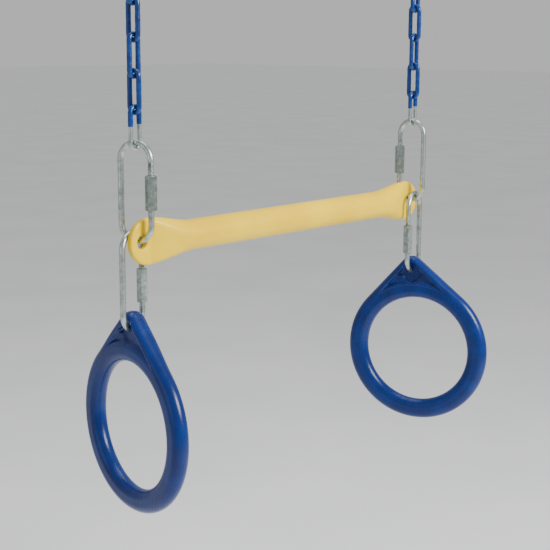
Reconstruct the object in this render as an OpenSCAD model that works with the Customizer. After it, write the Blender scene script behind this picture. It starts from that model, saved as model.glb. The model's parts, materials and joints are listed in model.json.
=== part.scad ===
// Trapeze bar with two rings for a play swing. A steel bar in a soft coat hangs on two coated
// chains by long quick links, and a second pair of links carries a moulded ring below each end.
// Frame: +X along the bar, +Y to the back, +Z up. The origin is midway between the two hang
// points, which are the centres of the top bends of the two chains.

/* [Bar] */
// Distance between the holes in the bar's ends
hole_span = 440; // [400:5:520]
// Outside diameter of the steel tube
tube_d = 28.6; // [26:0.1:32]
// Wall thickness of the steel tube
tube_wall = 2; // [1.5:0.1:2.5]
// Thickness of the soft coat on the tube
bar_coat = 1.2; // [0.8:0.1:1.6]
// Height of the tube's pressed-flat ends
flat_h = 44; // [40:0.5:46]
// How far the steel runs past each hole
tip_reach = 13.8; // [12:0.1:16]
// Distance from a hole to the start of its flare
flare_start = 10; // [9:0.5:14]
// Distance from a hole to where the tube is round
flare_end = 68; // [50:1:80]
// Diameter of each end hole inside the coat
bar_hole_d = 13; // [12.6:0.1:14]

/* [Quick links] */
// Diameter of the link wire
wire_d = 6; // [5:0.1:6.2]
// Outside length of a link
link_l = 102; // [95:1:110]
// Distance between the middles of a link's legs
link_w = 34; // [33:0.5:36]
// Length of the hexagonal sleeve nut
nut_l = 34; // [30:0.5:35]
// Width of the nut across its flats
nut_flats = 10; // [9:0.1:11]
// Height of each lower nut's middle above the middle of its link
lower_nut_z = -7; // [-8:0.5:0]
// Width of the gap that the nut closes
link_gap = 7.5; // [7:0.1:9]
// Length of thread that the closed nut takes below the gap
low_thread = 5; // [4:0.5:7]

/* [Rings] */
// Diameter of the hand opening
ring_opening_d = 130.5; // [120:0.5:140]
// Width of the grip limb, from the opening to the outside
limb_w = 24; // [21:0.5:26]
// Thickness of the grip limb and the rim, front to back
limb_t = 18.5; // [17:0.5:20]
// Distance from the ring's centre up to its hole
hole_rise = 97.3; // [92:0.1:104]
// Diameter of the ring's hanging hole
ring_hole_d = 14; // [13:0.1:15]
// Radius of the rounded peak above the hole
peak_r = 14; // [13:0.5:16]
// Height of the peak's own centre above the hole
peak_rise = 6; // [5:0.5:8]
// Thickness of the rim on the peak's sides
rim_t = 17.5; // [16:0.5:18]
// Width of the rim beside the pocket
rim_w = 9; // [7:0.5:10]
// Thickness of the flat web below the hole
web_t = 11; // [9:0.5:12]
// Thickness of the thin pocket round the hole
pocket_t = 7; // [6:0.5:8]

/* [Chains] */
// Diameter of the bare chain wire
chain_wire = 4; // [3.8:0.1:4.4]
// Thickness of the soft coat on the chain
chain_coat = 0.65; // [0.4:0.05:0.8]
// Distance from one chain link to the next
chain_pitch = 34; // [32:0.5:40]
// Links in each chain
chain_links = 6; // [3:1:8]
// Free play between a chain wire and the next
chain_play = 0.5; // [0.3:0.05:0.6]

/* [Rest pose] */
// Turn of each upper link from square to the bar, left and right
upper_turn = [16, 2]; // [-20:1:20]
// Turn of each lower link from the bar's own line, left and right
lower_turn = [15, 12]; // [0:1:15]
// Turn of each ring from square to the bar, left and right
ring_turn = [-10, 17]; // [-25:1:25]
// Lean of each ring in its own plane, left and right
ring_lean = [0, 5]; // [0:1:6]
// Turn of the odd and the even chain links
chain_turn = [6, 4]; // [0:1:12]

/* [Hidden] */
$fn = 64;
SIDES = ["left", "right"];
TIERS = ["upper", "lower"];
ROWS = [1 : chain_links];

// Colours
steel = "#B9C0BD";
yellow = "#FFD92F";
ring_blue = "#0B3F85";
chain_blue = "#14508F";

// Quick link: bend radius of the wire's middle, straight leg, and the nut's fit on the leg
wire_r = wire_d / 2;
bend_r = link_w / 2;
leg_l = link_l - link_w - wire_d;
link_half = leg_l / 2 + bend_r;
nut_clear = 0.05;
nut_bevel = 0.3;
thread_pitch = 1;
thread_depth = 0.55;
gap_low = -nut_l / 2 + low_thread;
function nut_z(tier) = tier == "lower" ? lower_nut_z : 0;

// Ring: radius of its rim, how far its parts run into each other, the lip round its hole and the shoulders beside it
rim_r = limb_t / 2;
overlap = 2;
outer_r = ring_opening_d / 2 + limb_w;
side_lean = asin((outer_r - peak_r) / (hole_rise + peak_rise));
lip_r = peak_r - 3;
shoulder_drop = 3;

// Chain: bend radius of the wire's middle, straight leg, and the height above the lowest link's
// middle at which its coat ends on each leg
core_r = chain_wire / 2;
coat_r = core_r + chain_coat;
coat_end = [3, 1];
chain_bend = 2 * coat_r + chain_play;
chain_leg = chain_pitch - chain_bend;

// Where things hang. The left end hangs a little behind the bar and the right end in front,
// because each upper link shares its load between the bar's end and the lower link beside it.
hang_off = 4;
beside = 9.8;
// Play below and above the lower link, between the bar's hole and its link, and above the ring
link_play = 0.95;
bar_drop = 1.2;
ring_drop = 1.9;
crown_z = -chain_leg - (chain_links - 1) * chain_pitch;
upper_low_z = crown_z - 2 * link_half;
function side(i) = i == 0 ? -1 : 1;
function hang_x(i) = side(i) * (hole_span / 2 + hang_off * tan(upper_turn[i]));
function hang_y(i) = -side(i) * hang_off;
// Height of the upper link's wire above its lowest point, at distance d from the link's middle
// measured square to the bar
function arc_rise(i, d) = bend_r - sqrt(pow(bend_r, 2) - pow(d / cos(upper_turn[i]), 2));
bar_z = upper_low_z + arc_rise(0, hang_off) - bar_drop;
function lower_y(i) = -side(i) * beside;
function lower_x(i) = hang_x(i) - side(i) * (hang_off - beside) * tan(upper_turn[i]);
function lower_top_z(i) = upper_low_z + arc_rise(i, beside - hang_off) + wire_d + link_play;
function ring_z(i) = lower_top_z(i) - 2 * link_half - ring_drop;

// Bar flare: the tube's section is a slot of width w and height h, which is round where they
// are equal. t runs from 0 at the flat to 1 at the round tube. The width swells at once, which
// leaves a crease beside the flat, and the height eases down.
flare_steps = 11;
section_steps = 10;
seam = 0.04; // keeps the two half rounds of the round section apart
bore_start = 0.1; // where the tube's bore closes to a slit
past = 1; // how far a cut runs past the solid it cuts
function ease(t) = t * t * (3 - 2 * t);
function swell(t) = t * (2 - t);
function slot_w(t) = 2 * tube_wall + (tube_d - 2 * tube_wall) * swell(t);
function slot_h(t) = flat_h + (tube_d + seam - flat_h) * ease(t);
function slot(w, h, x) = [
    for (q = [0 : 1], k = [0 : section_steps])
        let (a = 180 * q + 180 * k / section_steps, up = q == 0 ? 1 : -1)
        [x, w / 2 * cos(a), w / 2 * sin(a) + up * (h - w) / 2]
];

// A solid through equal sections along +X
module sweep(sections) {
    n = len(sections[0]);
    last = len(sections) - 1;
    sides = [
        for (s = [0 : last - 1], k = [0 : n - 1])
            let (a = s * n + k, b = s * n + (k + 1) % n)
            [a, a + n, b + n, b]
    ];
    ends = [[for (k = [0 : n - 1]) k], [for (k = [n - 1 : -1 : 0]) last * n + k]];
    polyhedron(points = [for (s = sections) each s], faces = concat(sides, ends), convexity = 4);
}

// One end of the bar from its hole inwards, grown by g all round
module bar_end(g, hollow = false) {
    first = hollow ? bore_start : 0;
    step = (1 - first) / flare_steps;
    sweep([
        for (k = [0 : flare_steps])
            let (t = first + k * step)
            slot(slot_w(t) + 2 * g, slot_h(t) + 2 * g, flare_start + t * (flare_end - flare_start))
    ]);
}

// The flat tip of one end, grown by g
module bar_tip(g) {
    nose_r = flat_h / 2 + g;
    nose_x = flat_h / 2 - tip_reach;
    flat_t = 2 * tube_wall + 2 * g;
    translate([nose_x, 0, 0]) rotate([90, 0, 0]) cylinder(r = nose_r, h = flat_t, center = true);
    translate([nose_x, -flat_t / 2, -nose_r]) cube([flare_start - nose_x, flat_t, 2 * nose_r]);
}

module both_ends() {
    for (i = [0, 1])
        translate([side(i) * hole_span / 2, 0, bar_z]) mirror([i, 0, 0]) children();
}

// The whole outer shape of the bar, grown by g
module bar_body(g) {
    both_ends() {
        bar_tip(g);
        bar_end(g);
    }
    bar_middle(tube_d / 2 + g);
}

module bar_middle(r) {
    length = hole_span - 2 * flare_end;
    translate([0, 0, bar_z]) rotate([0, 90, 0]) cylinder(r = r, h = length, center = true);
}

module bar_holes(r) {
    depth = 2 * (tube_wall + bar_coat + past);
    both_ends() rotate([90, 0, 0]) cylinder(r = r, h = depth, center = true);
}

module bar_tube() {
    color(steel) difference() {
        bar_body(0);
        both_ends() bar_end(-tube_wall, hollow = true);
        bar_middle(tube_d / 2 - tube_wall);
        bar_holes(bar_hole_d / 2 + bar_coat);
    }
}

module bar_coating() {
    color(yellow) difference() {
        bar_body(bar_coat);
        difference() {
            bar_body(0);
            bar_holes(bar_hole_d / 2 + bar_coat);
        }
        bar_holes(bar_hole_d / 2);
    }
}

// Half a turn of round wire, open downwards, with its middle at radius bend
module half_turn(bend, r) {
    rotate([90, 0, 0]) rotate_extrude(angle = 180) translate([bend, 0]) circle(r = r);
}

// A closed loop of round wire standing in the XZ plane
module wire_loop(bend, leg, r) {
    for (end = [0, 1]) mirror([0, 0, end]) translate([0, 0, leg / 2]) half_turn(bend, r);
    for (x = [-bend, bend]) translate([x, 0, 0]) cylinder(r = r, h = leg, center = true);
}

// Threaded wire from z = 0 to h, with rings of thread and a chamfered end at the bottom
module threaded_leg(h) {
    root_r = wire_r - thread_depth;
    turns = floor((h - 1) / thread_pitch);
    rotate_extrude() polygon(concat(
        [[0, 0], [root_r, 0]],
        [for (k = [0 : turns - 1], p = [0, 1])
            [p == 0 ? root_r : wire_r - nut_clear, (k + (1 + p) / 2) * thread_pitch]],
        [[wire_r - nut_clear, h], [0, h]]
    ));
}

// A quick link standing in the XZ plane, its nut's leg on the +X side, open where the nut goes
module quick_link(tier) {
    gap = gap_low + nut_z(tier);
    color(steel) {
        for (end = [0, 1]) mirror([0, 0, end]) translate([0, 0, leg_l / 2]) half_turn(bend_r, wire_r);
        translate([-bend_r, 0, 0]) cylinder(r = wire_r, h = leg_l, center = true);
        translate([bend_r, 0, gap + link_gap]) threaded_leg(leg_l / 2 - gap - link_gap);
        translate([bend_r, 0, gap]) mirror([0, 0, 1]) threaded_leg(low_thread);
        translate([bend_r, 0, -leg_l / 2]) cylinder(r = wire_r, h = leg_l / 2 + gap - low_thread);
    }
}

// The sleeve nut in its closed place, with turned ends
module sleeve_nut(tier) {
    corner_r = nut_flats / 2 / cos(30);
    bevel = corner_r - nut_flats / 2 + nut_bevel;
    color(steel) translate([bend_r, 0, nut_z(tier)]) difference() {
        intersection() {
            rotate([0, 0, 30]) cylinder(r = corner_r, h = nut_l, center = true, $fn = 6);
            rotate_extrude() polygon([
                [0, -nut_l / 2], [corner_r - bevel, -nut_l / 2], [corner_r, -nut_l / 2 + bevel],
                [corner_r, nut_l / 2 - bevel], [corner_r - bevel, nut_l / 2], [0, nut_l / 2]
            ]);
        }
        cylinder(r = wire_r + nut_clear, h = nut_l + 2 * past, center = true);
    }
}

// The nut's leg is in front on the left upper link and behind on the right one. On the lower
// links it is the leg nearer the bar's middle.
module place_upper(i) {
    turn = upper_turn[i] - 90;
    translate([hang_x(i), hang_y(i), crown_z - link_half]) rotate([0, 0, turn + 180 * i]) children();
}

module place_lower(i) {
    translate([lower_x(i), lower_y(i), lower_top_z(i) - link_half])
        rotate([0, 0, lower_turn[i] + 180 * i]) children();
}

module place_link(i, tier) {
    if (tier == "upper") place_upper(i) children();
    if (tier == "lower") place_lower(i) children();
}

// The peak's outline from its foot on the round limb, shrunk by s. The hole is at the origin.
module peak_outline(s) {
    foot = outer_r - s;
    top_r = peak_r - s;
    side_pt = [cos(side_lean), sin(side_lean)];
    translate([0, peak_rise]) circle(r = top_r);
    polygon([
        [-foot * side_pt[0], foot * side_pt[1] - hole_rise],
        [foot * side_pt[0], foot * side_pt[1] - hole_rise],
        [top_r * side_pt[0], top_r * side_pt[1] + peak_rise],
        [-top_r * side_pt[0], top_r * side_pt[1] + peak_rise]
    ]);
}

// The whole ring's outline, shrunk by s
module ring_outline(s) {
    translate([0, -hole_rise]) circle(r = outer_r - s);
    peak_outline(s);
}

// The grip limb's section, a flat-sided oval
module limb_section() {
    half_flat = (limb_w - limb_t) / 2;
    for (x = [-half_flat, half_flat]) translate([x, 0]) circle(r = rim_r);
    square([2 * half_flat, limb_t], center = true);
}

// The rim runs round the peak and straight down both sides to the limb's outer edge
module rim() {
    slab(rim_t) difference() {
        peak_outline(0);
        ring_outline(rim_w);
        translate([0, -hole_rise]) circle(r = outer_r - limb_w / 2);
    }
}

// Thin pocket inside the rim: two shoulders and a round lip below the hole
module pocket_outline() {
    intersection() {
        ring_outline(rim_w);
        translate([-limb_w, -shoulder_drop]) square([2 * limb_w, shoulder_drop + peak_rise + peak_r]);
    }
    circle(r = lip_r);
}

// A ring in the XZ plane, hanging from its hole at the origin
module ring_shape() {
    color(ring_blue) difference() {
        union() {
            translate([0, 0, -hole_rise]) rotate([90, 0, 0]) rotate_extrude()
                translate([(ring_opening_d + limb_w) / 2, 0]) limb_section();
            rim();
            slab(web_t) difference() {
                ring_outline(overlap);
                translate([0, -hole_rise]) circle(r = ring_opening_d / 2 + overlap);
            }
        }
        for (y = [0, 1])
            mirror([0, y, 0]) translate([0, (pocket_t + limb_t) / 2, 0]) slab(limb_t) pocket_outline();
        rotate([90, 0, 0]) cylinder(r = ring_hole_d / 2, h = limb_t + 2 * past, center = true);
    }
}

module slab(t) {
    rotate([90, 0, 0]) linear_extrude(height = t, center = true) children();
}

module place_ring(i) {
    translate([lower_x(i), lower_y(i), ring_z(i)])
        rotate([0, 0, ring_turn[i] - 90]) rotate([0, -ring_lean[i], 0]) children();
}

// Odd chain links stand square to the bar and even ones along it, each turned a little
module place_chain(i, k) {
    turn = k % 2 == 1 ? chain_turn[0] - 90 : chain_turn[1];
    z = -chain_leg / 2 - (k - 1) * chain_pitch;
    translate([hang_x(i), hang_y(i), z]) rotate([0, 0, turn]) children();
}

module chain_core() {
    color(steel) wire_loop(chain_bend, chain_leg, core_r);
}

// The coat is a skin on the wire. The lowest link wears it on its upper half only, and it ends
// lower on one leg than on the other.
module chain_coat(lowest) {
    color(chain_blue) difference() {
        wire_loop(chain_bend, chain_leg, coat_r);
        wire_loop(chain_bend, chain_leg, core_r);
        if (lowest) for (leg = [0, 1]) mirror([leg, 0, 0])
            translate([0, -chain_pitch / 2, -chain_pitch])
                cube([chain_pitch, chain_pitch, chain_pitch + coat_end[leg]]);
    }
}

bar_tube();
bar_coating();
for (i = [0, 1]) {
    place_ring(i) ring_shape();
    for (t = TIERS) {
        place_link(i, t) quick_link(t);
        place_link(i, t) sleeve_nut(t);
    }
    for (k = ROWS) {
        place_chain(i, k) chain_core();
        place_chain(i, k) chain_coat(k == chain_links);
    }
}
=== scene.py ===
import bpy, bmesh, json, math, random
from mathutils import Matrix, Vector


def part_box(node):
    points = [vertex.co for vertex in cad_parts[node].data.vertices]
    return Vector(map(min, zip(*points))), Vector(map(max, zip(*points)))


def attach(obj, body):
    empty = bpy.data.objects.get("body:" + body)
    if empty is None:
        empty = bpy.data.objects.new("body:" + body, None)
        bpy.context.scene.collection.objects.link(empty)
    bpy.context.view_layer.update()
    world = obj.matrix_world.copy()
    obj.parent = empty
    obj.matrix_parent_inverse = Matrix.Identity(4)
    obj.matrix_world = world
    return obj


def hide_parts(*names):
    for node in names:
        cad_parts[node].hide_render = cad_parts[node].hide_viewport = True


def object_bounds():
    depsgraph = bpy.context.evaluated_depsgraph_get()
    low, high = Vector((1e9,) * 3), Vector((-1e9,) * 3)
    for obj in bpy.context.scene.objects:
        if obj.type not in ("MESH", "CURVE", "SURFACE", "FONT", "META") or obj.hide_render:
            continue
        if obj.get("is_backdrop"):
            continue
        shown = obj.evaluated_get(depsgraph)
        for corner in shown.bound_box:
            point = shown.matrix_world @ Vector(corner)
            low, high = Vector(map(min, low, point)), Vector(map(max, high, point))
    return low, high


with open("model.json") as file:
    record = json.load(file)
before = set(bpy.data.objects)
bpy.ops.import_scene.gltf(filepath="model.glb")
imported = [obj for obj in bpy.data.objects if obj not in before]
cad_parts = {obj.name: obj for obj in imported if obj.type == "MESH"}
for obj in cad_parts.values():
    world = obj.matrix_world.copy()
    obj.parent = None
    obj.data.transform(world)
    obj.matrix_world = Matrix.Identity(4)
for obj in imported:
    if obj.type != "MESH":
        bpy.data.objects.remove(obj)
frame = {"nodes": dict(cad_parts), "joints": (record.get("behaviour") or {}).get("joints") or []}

cadLow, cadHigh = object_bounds()
nodes = frame["nodes"]
joints = {j["name"]: j for j in frame["joints"]}
sides = ("left", "right")
mm = 0.001


def place(jointName):  # where a joint's pin is, in metres
    return Vector(joints[jointName]["pos_m"])


def hexColour(code, alpha=1.0):  # sRGB hex to the linear values that shaders use
    parts = [int(code[i:i + 2], 16) / 255 for i in (1, 3, 5)]
    return (*[p / 12.92 if p <= 0.04045 else ((p + 0.055) / 1.055) ** 2.4 for p in parts], alpha)


def addNode(tree, kind, settings=None, links=None):  # settings go on the node or its sockets
    node = tree.nodes.new(kind)
    for name, value in (settings or {}).items():
        if name in node.inputs.keys():
            node.inputs[name].default_value = value
        else:
            setattr(node, name, value)
    for name, source in (links or {}).items():
        tree.links.new(source, node.inputs[name])
    return node


def newMaterial(name):
    material = bpy.data.materials.new(name)
    material.use_nodes = True
    material.node_tree.nodes.clear()
    return material, material.node_tree


def setRamp(node, stops):
    ramp = node.color_ramp
    while len(ramp.elements) > 1:
        ramp.elements.remove(ramp.elements[0])
    for i, (at, code) in enumerate(stops):
        step = ramp.elements[0] if i == 0 else ramp.elements.new(at)
        step.position = at
        step.color = hexColour(code) if isinstance(code, str) else (code, code, code, 1)


def meshPiece(name, points, faces, smooth=True):
    mesh = bpy.data.meshes.new(name)
    mesh.from_pydata([tuple(p) for p in points], [], faces)
    mesh.update()
    piece = bpy.data.objects.new(name, mesh)
    bpy.context.scene.collection.objects.link(piece)
    for face in mesh.polygons:
        face.use_smooth = smooth
    return piece


def applyStack(piece):
    graph = bpy.context.evaluated_depsgraph_get()
    done = bpy.data.meshes.new_from_object(piece.evaluated_get(graph))
    piece.modifiers.clear()
    piece.data = done


# Bar vinyl: dip-coated PVC on the tube, thick and satin, with a soft orange-peel skin
barVinyl, tree = newMaterial("dippedPvcYellow")
barLook = {"top": "#F4CE00", "body": "#EEC600", "low": "#E6BA00", "grime": "#8A6A10",
           "peelMm": 2.2, "tintMm": 60, "scuffMm": 7.692, "sagMm": 14.286}
coords = addNode(tree, "ShaderNodeTexCoord").outputs["Object"]
tint = addNode(tree, "ShaderNodeTexNoise", {"Scale": 1000 / barLook["tintMm"], "Detail": 3}, {"Vector": coords})
tintRamp = addNode(tree, "ShaderNodeValToRGB", None, {"Fac": tint.outputs["Fac"]})
setRamp(tintRamp, [(0.3, barLook["low"]), (0.5, barLook["body"]), (0.72, barLook["top"])])
scuff = addNode(tree, "ShaderNodeTexNoise", {"Scale": 1000 / barLook["scuffMm"], "Detail": 6, "Roughness": 0.7},
               {"Vector": coords})
scuffRamp = addNode(tree, "ShaderNodeValToRGB", None, {"Fac": scuff.outputs["Fac"]})
setRamp(scuffRamp, [(0.68, 0.0), (0.8, 0.22)])
barTint = addNode(tree, "ShaderNodeMixRGB", {"Color2": hexColour(barLook["grime"])},
                  {"Fac": scuffRamp.outputs["Color"], "Color1": tintRamp.outputs["Color"]})
peel = addNode(tree, "ShaderNodeTexNoise", {"Scale": 1000 / barLook["peelMm"], "Detail": 2}, {"Vector": coords})
sag = addNode(tree, "ShaderNodeTexNoise", {"Scale": 1000 / barLook["sagMm"], "Detail": 1}, {"Vector": coords})
peelBump = addNode(tree, "ShaderNodeBump", {"Strength": 0.12, "Distance": 0.0002}, {"Height": peel.outputs["Fac"]})
sagBump = addNode(tree, "ShaderNodeBump", {"Strength": 0.25, "Distance": 0.0012},
                  {"Height": sag.outputs["Fac"], "Normal": peelBump.outputs["Normal"]})
barRough = addNode(tree, "ShaderNodeMapRange", {"To Min": 0.34, "To Max": 0.5}, {"Value": tint.outputs["Fac"]})
barShader = addNode(tree, "ShaderNodeBsdfPrincipled",
                    {"IOR": 1.53, "Specular IOR Level": 0.3, "Coat Weight": 0.12, "Coat Roughness": 0.25},
                    {"Base Color": barTint.outputs["Color"], "Roughness": barRough.outputs["Result"],
                     "Normal": sagBump.outputs["Normal"]})
addNode(tree, "ShaderNodeOutputMaterial", None, {"Surface": barShader.outputs["BSDF"]})

# Ring plastic: rotomoulded polyethylene, a deep gloss over a slightly wavy skin with fine scratches
ringPoly, tree = newMaterial("mouldedPolyethyleneBlue")
ringLook = {"deep": "#001F5C", "body": "#002568", "lift": "#002D78", "mottleMm": 22.222, "waveMm": 9,
            "scratchMm": 1.1}
coords = addNode(tree, "ShaderNodeTexCoord").outputs["Object"]
mottle = addNode(tree, "ShaderNodeTexNoise", {"Scale": 1000 / ringLook["mottleMm"], "Detail": 4}, {"Vector": coords})
mottleRamp = addNode(tree, "ShaderNodeValToRGB", None, {"Fac": mottle.outputs["Fac"]})
setRamp(mottleRamp, [(0.3, ringLook["deep"]), (0.5, ringLook["body"]), (0.75, ringLook["lift"])])
wave = addNode(tree, "ShaderNodeTexNoise", {"Scale": 1000 / ringLook["waveMm"], "Detail": 1}, {"Vector": coords})
stretch = addNode(tree, "ShaderNodeMapping", {"Scale": (1, 1, 0.12)}, {"Vector": coords})
scratch = addNode(tree, "ShaderNodeTexNoise", {"Scale": 1000 / ringLook["scratchMm"], "Detail": 4, "Roughness": 0.65},
                  {"Vector": stretch.outputs["Vector"]})
waveBump = addNode(tree, "ShaderNodeBump", {"Strength": 0.12, "Distance": 0.0006}, {"Height": wave.outputs["Fac"]})
scratchBump = addNode(tree, "ShaderNodeBump", {"Strength": 0.03, "Distance": 0.0001},
                      {"Height": scratch.outputs["Fac"], "Normal": waveBump.outputs["Normal"]})
ringRough = addNode(tree, "ShaderNodeMapRange", {"From Min": 0.3, "From Max": 0.7, "To Min": 0.22, "To Max": 0.32},
                    {"Value": scratch.outputs["Fac"]})
ringShader = addNode(tree, "ShaderNodeBsdfPrincipled", {"IOR": 1.51, "Specular IOR Level": 0.32},
                     {"Base Color": mottleRamp.outputs["Color"], "Roughness": ringRough.outputs["Result"],
                      "Normal": scratchBump.outputs["Normal"]})
addNode(tree, "ShaderNodeOutputMaterial", None, {"Surface": ringShader.outputs["BSDF"]})

# Chain vinyl: thin plastisol dip, wet-looking gloss with runs and small lumps
chainVinyl, tree = newMaterial("dippedPlastisolBlue")
chainLook = {"deep": "#002560", "body": "#003274", "lift": "#004088", "cloudMm": 6.25, "lumpMm": 3.5}
coords = addNode(tree, "ShaderNodeTexCoord").outputs["Object"]
cloud = addNode(tree, "ShaderNodeTexNoise", {"Scale": 1000 / chainLook["cloudMm"], "Detail": 3}, {"Vector": coords})
cloudRamp = addNode(tree, "ShaderNodeValToRGB", None, {"Fac": cloud.outputs["Fac"]})
setRamp(cloudRamp, [(0.3, chainLook["deep"]), (0.5, chainLook["body"]), (0.72, chainLook["lift"])])
lump = addNode(tree, "ShaderNodeTexNoise", {"Scale": 1000 / chainLook["lumpMm"], "Detail": 2}, {"Vector": coords})
lumpBump = addNode(tree, "ShaderNodeBump", {"Strength": 0.5, "Distance": 0.0008}, {"Height": lump.outputs["Fac"]})
chainShader = addNode(tree, "ShaderNodeBsdfPrincipled", {"IOR": 1.53, "Specular IOR Level": 0.4, "Roughness": 0.22},
                      {"Base Color": cloudRamp.outputs["Color"], "Normal": lumpBump.outputs["Normal"]})
addNode(tree, "ShaderNodeOutputMaterial", None, {"Surface": chainShader.outputs["BSDF"]})

# Zinc: bright electroplate over drawn wire, slightly milky, with faint drawing lines and dull patches
zincPlate, tree = newMaterial("zincPlatedSteel")
zincLook = {"dull": "#8E9A97", "body": "#B4BDBA", "bright": "#D5DBD8", "patchMm": 7, "grainMm": 0.6}
coords = addNode(tree, "ShaderNodeTexCoord").outputs["Object"]
patch = addNode(tree, "ShaderNodeTexNoise", {"Scale": 1000 / zincLook["patchMm"], "Detail": 5, "Roughness": 0.6},
                {"Vector": coords})
patchRamp = addNode(tree, "ShaderNodeValToRGB", None, {"Fac": patch.outputs["Fac"]})
setRamp(patchRamp, [(0.32, zincLook["dull"]), (0.52, zincLook["body"]), (0.7, zincLook["bright"])])
drawn = addNode(tree, "ShaderNodeMapping", {"Scale": (1, 1, 0.08)}, {"Vector": coords})
grain = addNode(tree, "ShaderNodeTexNoise", {"Scale": 1000 / zincLook["grainMm"], "Detail": 2},
                {"Vector": drawn.outputs["Vector"]})
grainBump = addNode(tree, "ShaderNodeBump", {"Strength": 0.12, "Distance": 0.0001}, {"Height": grain.outputs["Fac"]})
zincRough = addNode(tree, "ShaderNodeMapRange", {"From Min": 0.3, "From Max": 0.7, "To Min": 0.4, "To Max": 0.24},
                    {"Value": patch.outputs["Fac"]})
zincShader = addNode(tree, "ShaderNodeBsdfPrincipled", {"Metallic": 1.0},
                     {"Base Color": patchRamp.outputs["Color"], "Roughness": zincRough.outputs["Result"],
                      "Normal": grainBump.outputs["Normal"]})
addNode(tree, "ShaderNodeOutputMaterial", None, {"Surface": zincShader.outputs["BSDF"]})

# Nut: turned hexagon bar, its zinc duller and greyer than the wire's
nutZinc, tree = newMaterial("zincPlatedHexBar")
nutLook = {"dull": "#7F8985", "body": "#98A39E", "bright": "#BAC3BF", "blotchMm": 3.846}
coords = addNode(tree, "ShaderNodeTexCoord").outputs["Object"]
blotch = addNode(tree, "ShaderNodeTexNoise", {"Scale": 1000 / nutLook["blotchMm"], "Detail": 5}, {"Vector": coords})
blotchRamp = addNode(tree, "ShaderNodeValToRGB", None, {"Fac": blotch.outputs["Fac"]})
setRamp(blotchRamp, [(0.3, nutLook["dull"]), (0.55, nutLook["body"]), (0.75, nutLook["bright"])])
nutShader = addNode(tree, "ShaderNodeBsdfPrincipled", {"Metallic": 1.0, "Roughness": 0.42},
                    {"Base Color": blotchRamp.outputs["Color"]})
addNode(tree, "ShaderNodeOutputMaterial", None, {"Surface": nutShader.outputs["BSDF"]})

for name, node in nodes.items():
    material = nutZinc if "_nut_" in name else zincPlate
    if "_coat_" in name:
        material = chainVinyl
    elif name.startswith("ring_"):
        material = ringPoly
    elif name == "bar_coating":
        material = barVinyl
    for slot in node.material_slots:
        slot.material = material
print("materials ready")


# Bar coat: the dip rounds every edge of the pressed tube below it
barCoat = {"mergeMm": 0.01, "voxelMm": 1.1, "rub": 0.5, "rubs": 8, "backMm": 0.12}


def shellsOf(shape):  # groups of joined vertices, the longest along the bar first
    seen, shells = set(), []
    for start in shape.verts:
        if start in seen:
            continue
        shell, queue = [], [start]
        seen.add(start)
        while queue:
            vert = queue.pop()
            shell.append(vert)
            for edge in vert.link_edges:
                other = edge.other_vert(vert)
                if other not in seen:
                    seen.add(other)
                    queue.append(other)
        shells.append(shell)
    return sorted(shells, key=lambda shell: min(v.co.x for v in shell) - max(v.co.x for v in shell))


def buildBarCoat():  # a merged copy of the solid, rebuilt in small even faces and rubbed smooth
    shape = bmesh.new()
    shape.from_mesh(nodes["bar_coating"].data)
    bmesh.ops.remove_doubles(shape, verts=shape.verts[:], dist=barCoat["mergeMm"] * mm)
    for shell in shellsOf(shape)[1:]:
        bmesh.ops.delete(shape, geom=shell, context="VERTS")
    piece = meshPiece("barCoat", [], [])
    shape.to_mesh(piece.data)
    shape.free()
    piece.data.materials.clear()
    piece.data.materials.append(barVinyl)
    even = piece.modifiers.new("even", "REMESH")
    even.mode = "VOXEL"
    even.voxel_size = barCoat["voxelMm"] * mm
    even.use_smooth_shade = True
    rub = piece.modifiers.new("rub", "SMOOTH")
    rub.factor = barCoat["rub"]
    rub.iterations = barCoat["rubs"]
    swellBack = piece.modifiers.new("swellBack", "DISPLACE")  # gives back what the rubbing took off
    swellBack.strength = barCoat["backMm"] * mm
    swellBack.mid_level = 0
    return piece


coat = buildBarCoat()
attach(coat, "bar")
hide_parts("bar_coating")
print("bar ready")

# Rings: one moulding, an oval grip whose outer edge rises into a rim round the peaked tab
ringForm = {"opening": 130.5, "limbWide": 24.0, "limbThick": 18.5, "rise": 97.3, "peakRadius": 14.0, "peakUp": 6.0,
            "rimWide": 9.0, "rimRound": 5.0, "rimSoft": 2.0, "webThick": 11.0, "pocketThick": 7.0, "lipRadius": 11.0,
            "shoulder": 3.0, "pocketEdge": 1.0, "holeRadius": 7.0, "hairInside": 0.02, "rows": 44,
            "tabShare": 0.35, "drillSteps": 48, "lean": {"left": 0.0, "right": 5.0}}
openRadius = ringForm["opening"] / 2
outRadius = openRadius + ringForm["limbWide"]
halfLimb = ringForm["limbThick"] / 2
peakAt = ringForm["rise"] + ringForm["peakUp"]
peakRadius = ringForm["peakRadius"]
sideSine = (outRadius - peakRadius) / peakAt
sideCosine = math.sqrt(1 - sideSine ** 2)
tangentAngle = math.atan2(sideCosine, sideSine)
peakAngle = math.atan2(peakRadius * sideCosine, peakAt + peakRadius * sideSine)


def softStep(low, high, value):
    t = min(1, max(0, (value - low) / (high - low)))
    return t * t * (3 - 2 * t)


def outerReach(angle):  # from the opening's middle to the outline, angle measured from straight up
    angle = abs(angle)
    if angle > tangentAngle:
        return outRadius
    if angle > peakAngle:
        return outRadius / math.cos(angle - tangentAngle)
    return peakAt * math.cos(angle) + math.sqrt(peakRadius ** 2 - (peakAt * math.sin(angle)) ** 2)


def toOutline(x, z):  # distance in from the outline, square to it
    x = abs(x)
    along = z * sideCosine - x * sideSine
    if along < 0:
        return outRadius - math.hypot(x, z)
    if along > peakAt * sideCosine:
        return peakRadius - math.hypot(x, z - peakAt)
    return outRadius - x * sideCosine - z * sideSine


def roundedEdge(inward, radius):
    return math.sqrt(max(0, 1 - (1 - min(1, max(0, inward) / radius)) ** 2))


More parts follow.
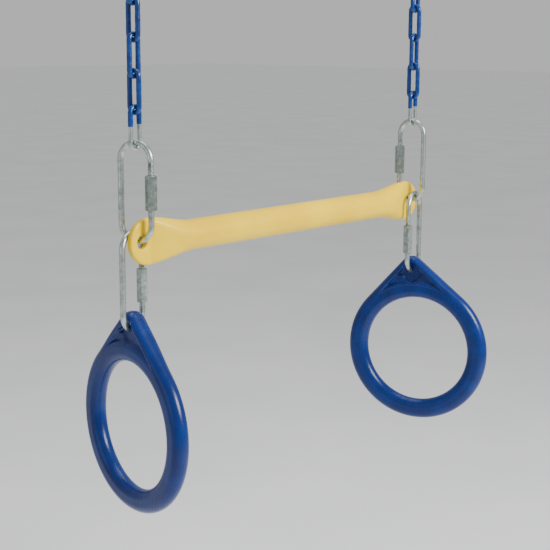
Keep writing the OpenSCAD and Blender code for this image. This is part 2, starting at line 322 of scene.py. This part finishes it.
def halfThickness(x, z, angle):
    fromOpening = math.hypot(x, z) - openRadius
    fromOutline = toOutline(x, z)
    limbWide = ringForm["limbWide"]
    limb = halfLimb * roundedEdge(min(fromOpening, limbWide - fromOpening), halfLimb)
    if abs(angle) >= tangentAngle:
        return limb
    tabShare = softStep(tangentAngle, tangentAngle * ringForm["tabShare"], abs(angle))
    edgeRound = halfLimb + (ringForm["rimRound"] - halfLimb) * tabShare
    rim = halfLimb * roundedEdge(fromOutline, edgeRound)
    rimWide, rimSoft = ringForm["rimWide"], ringForm["rimSoft"]
    rim *= 1 - softStep(rimWide - rimSoft, rimWide + rimSoft, fromOutline)
    web = ringForm["webThick"] / 2 * roundedEdge(fromOutline, edgeRound) * roundedEdge(fromOpening, halfLimb)
    half = max(limb, rim, web)
    fromHole = math.hypot(x, z - ringForm["rise"])
    behindShoulder = ringForm["rise"] - ringForm["shoulder"] - z
    pocket = min(max(rimWide - fromOutline, behindShoulder), fromHole - ringForm["lipRadius"])
    keep = softStep(0, ringForm["pocketEdge"], pocket)
    thin = ringForm["pocketThick"] / 2
    return min(half, thin + (half - thin) * keep)


def buildRing(side):
    form = ringForm
    angles = [math.radians(a * 0.5) for a in range(-110, 110)]  # half degrees across the tab
    angles += [math.radians(55 + a) for a in range(0, 250)]  # whole degrees round the grip
    points, faces = [], []
    rows = form["rows"]
    for angle in angles:
        turned = (angle + math.pi) % (2 * math.pi) - math.pi
        far = outerReach(turned) - form["hairInside"]
        loop = []
        for k in range(rows + 1):
            radius = openRadius + (far - openRadius) * (1 - math.cos(math.pi * k / rows)) / 2
            x, z = radius * math.sin(angle), radius * math.cos(angle)
            half = 0 if k in (0, rows) else halfThickness(x, z, turned) - form["hairInside"]
            loop.append((x, half, z - form["rise"]))
        points += loop + [(x, -y, z) for x, y, z in reversed(loop[1:-1])]
    span = 2 * rows
    count = len(angles)
    for i in range(count):
        j = (i + 1) % count
        for k in range(span):
            m = (k + 1) % span
            faces.append((i * span + k, i * span + m, j * span + m, j * span + k))
    axis = joints["ring_%s_swing" % side]["axis"]
    turn = math.atan2(-axis[0], axis[1])
    stand = (Matrix.Translation(place("ring_%s_swing" % side)) @ Matrix.Rotation(turn, 4, "Z")
             @ Matrix.Rotation(math.radians(-form["lean"][side]), 4, "Y"))
    ring = meshPiece("ringMoulding" + side.title(), [stand @ (Vector(p) * mm) for p in points], faces)
    shape = bmesh.new()
    shape.from_mesh(ring.data)
    bmesh.ops.recalc_face_normals(shape, faces=shape.faces[:])
    shape.to_mesh(ring.data)
    shape.free()
    ring.data.materials.append(ringPoly)
    steps, reach = form["drillSteps"], form["limbThick"]
    holeRadius = form["holeRadius"]
    circle = [(holeRadius * math.cos(math.tau * k / steps), holeRadius * math.sin(math.tau * k / steps))
              for k in range(steps)]
    drillPoints = [(x, y, z) for y in (-reach, reach) for x, z in circle]
    drillFaces = [(k, (k + 1) % steps, steps + (k + 1) % steps, steps + k) for k in range(steps)]
    drillFaces += [tuple(range(steps))[::-1], tuple(range(steps, 2 * steps))]
    # these faces point inwards, so the cut leaves the hole filled: turn them round to open it
    drill = meshPiece("drill", [stand @ (Vector(p) * mm) for p in drillPoints], drillFaces, False)
    cut = ring.modifiers.new("hole", "BOOLEAN")
    cut.operation = "DIFFERENCE"
    cut.solver = "EXACT"
    cut.object = drill
    applyStack(ring)
    bpy.data.objects.remove(drill)
    return ring


for side in sides:
    ring = buildRing(side)
    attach(ring, "ring_" + side)
    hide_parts("ring_" + side)
print("rings ready")

# Chain coats: vinyl that has run and gathered as it set
chainDip = {"wire": 4.0, "coat": 0.65, "pitch": 34.0, "play": 0.5, "oddTurn": -84.0, "evenTurn": 4.0, "rows": 6,
            "ends": (3.0, 1.0), "rightRows": (0, 0.8, 4, 8), "leftRows": (9, 5, 0.8, 0), "tip": 0.84,
            "thin": 0.93, "thick": 1.0, "bendSteps": 13, "legSteps": 7, "roundness": 5, "seed": 7}


def linkPath(bend, leg, steps):  # round the middle of a link's wire, from the top of one leg
    path = []
    for k in range(steps):
        angle = math.pi * k / (steps - 1)
        path.append((bend * math.cos(angle), leg / 2 + bend * math.sin(angle)))
    rows = chainDip["legSteps"]
    path += [(-bend, leg * (0.5 - k / rows)) for k in range(1, rows)]
    for k in range(steps):
        angle = math.pi + math.pi * k / (steps - 1)
        path.append((bend * math.cos(angle), -leg / 2 + bend * math.sin(angle)))
    path += [(bend, leg * (-0.5 + k / rows)) for k in range(1, rows)]
    return path


def dipCurve(name, path, closed, turn, centre, radius):
    curve = bpy.data.curves.new(name, "CURVE")
    curve.dimensions = "3D"
    curve.bevel_depth = radius * mm
    curve.bevel_resolution = chainDip["roundness"]
    curve.use_fill_caps = True
    spline = curve.splines.new("POLY")
    spline.points.add(len(path) - 1)
    spline.use_cyclic_u = closed
    spline.use_smooth = True
    chance = random.Random(chainDip["seed"] + sum(map(ord, name)))
    swing = Matrix.Rotation(math.radians(turn), 3, "Z")
    last = len(path) - 1
    for k, (across, up) in enumerate(path):
        at = swing @ Vector((across * mm, 0, up * mm)) + centre
        spline.points[k].co = (*at, 1)
        size = chance.uniform(chainDip["thin"], chainDip["thick"])
        if not closed and k in (0, last):
            size = chainDip["tip"]
        spline.points[k].radius = size
    piece = bpy.data.objects.new(name, curve)
    bpy.context.scene.collection.objects.link(piece)
    curve.materials.append(chainVinyl)
    return piece


wireRadius = chainDip["wire"] / 2
dipRadius = wireRadius + chainDip["coat"]
bend = 2 * dipRadius + chainDip["play"]
leg = chainDip["pitch"] - bend
for side in sides:
    for row in range(1, chainDip["rows"] + 1):
        low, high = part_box("chain_%s_core_%d" % (side, row))
        turn = chainDip["oddTurn"] if row % 2 else chainDip["evenTurn"]
        path = linkPath(bend, leg, chainDip["bendSteps"])
        closed = row < chainDip["rows"]
        if not closed:  # the lowest link is dipped on its upper half only
            rightEnd, leftEnd = chainDip["ends"]
            top = path[:chainDip["bendSteps"]]
            path = [(bend, rightEnd + up) for up in chainDip["rightRows"]] + top
            path += [(-bend, leftEnd + up) for up in chainDip["leftRows"]]
        name = "chainDip%s%d" % (side.title(), row)
        dip = dipCurve(name, path, closed, turn, (low + high) / 2, dipRadius)
        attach(dip, "root" if row == 1 else "chain_%s_%d" % (side, row))
        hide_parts("chain_%s_coat_%d" % (side, row))
print("chains ready")

# Studio: pale floor, soft key from the right, weak fill and a wide top light
studio = {"floorDrop": 0.5, "floorHalf": 30.0, "floor": "#FAFBFB", "sky": "#FFFFFF", "skyPower": 0.55,
          "speckMm": 333.333, "key": 60.0, "fill": 3.0, "top": 22.0}
floorMaterial, tree = newMaterial("matteFloorPaint")
coords = addNode(tree, "ShaderNodeTexCoord").outputs["Object"]
speck = addNode(tree, "ShaderNodeTexNoise", {"Scale": 1000 / studio["speckMm"], "Detail": 2}, {"Vector": coords})
speckRamp = addNode(tree, "ShaderNodeValToRGB", None, {"Fac": speck.outputs["Fac"]})
setRamp(speckRamp, [(0.3, "#F2F4F4"), (0.7, studio["floor"])])
floorShader = addNode(tree, "ShaderNodeBsdfPrincipled", {"Roughness": 0.9},
                      {"Base Color": speckRamp.outputs["Color"]})
addNode(tree, "ShaderNodeOutputMaterial", None, {"Surface": floorShader.outputs["BSDF"]})
half = studio["floorHalf"]
down = cadLow.z - studio["floorDrop"]
floor = meshPiece("floor", [(-half, -half, down), (half, -half, down), (half, half, down), (-half, half, down)],
                  [(0, 1, 2, 3)], False)
floor.data.materials.append(floorMaterial)
floor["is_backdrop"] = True

world = bpy.data.worlds.new("studioSky")
world.use_nodes = True
bpy.context.scene.world = world
sky = world.node_tree.nodes["Background"]
sky.inputs["Color"].default_value = hexColour(studio["sky"])
sky.inputs["Strength"].default_value = studio["skyPower"]

# Camera: off the bar's left end and a little above it
view = {"lensMm": 80.52, "yaw": 48.16, "pitch": 11.02, "roll": 0.25, "at": (-1.01025, -0.88289),
        "aboveBar": 0.1977, "sensorMm": 36}
cameraData = bpy.data.cameras.new("camera")
cameraData.lens = view["lensMm"]
cameraData.sensor_width = view["sensorMm"]
camera = bpy.data.objects.new("camera", cameraData)
bpy.context.scene.collection.objects.link(camera)
bpy.context.scene.camera = camera
yaw, pitch = math.radians(view["yaw"]), math.radians(view["pitch"])
forward = Vector((math.sin(yaw) * math.cos(pitch), math.cos(yaw) * math.cos(pitch), -math.sin(pitch)))
rightWay = Vector((math.cos(yaw), -math.sin(yaw), 0))
upWay = rightWay.cross(forward)
roll = math.radians(view["roll"])
tiltedUp = upWay * math.cos(roll) - rightWay * math.sin(roll)
tiltedRight = forward.cross(tiltedUp)
turnTable = Matrix((tiltedRight, tiltedUp, -forward)).transposed()
stand = Vector((*view["at"], place("bar_level").z + view["aboveBar"]))
camera.matrix_world = Matrix.Translation(stand) @ turnTable.to_4x4()

centre = (cadLow + cadHigh) / 2
flatForward = Vector((math.sin(yaw), math.cos(yaw), 0))
lamps = [("key", rightWay * 1.5 + Vector((0, 0, 0.9)) - flatForward * 0.9, 0.9, studio["key"]),
         ("fill", rightWay * -1.6 + Vector((0, 0, 0.3)) - flatForward * 1.3, 1.4, studio["fill"]),
         ("top", Vector((0, 0, 1.8)) + flatForward * 0.3, 1.6, studio["top"])]
for name, offset, size, power in lamps:
    lampData = bpy.data.lights.new(name, "AREA")
    lampData.shape = "DISK"
    lampData.size = size
    lampData.energy = power
    lamp = bpy.data.objects.new(name, lampData)
    bpy.context.scene.collection.objects.link(lamp)
    lamp.location = centre + offset
    lamp.rotation_euler = (-offset).to_track_quat("-Z", "Y").to_euler()
print("studio ready")

low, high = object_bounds()
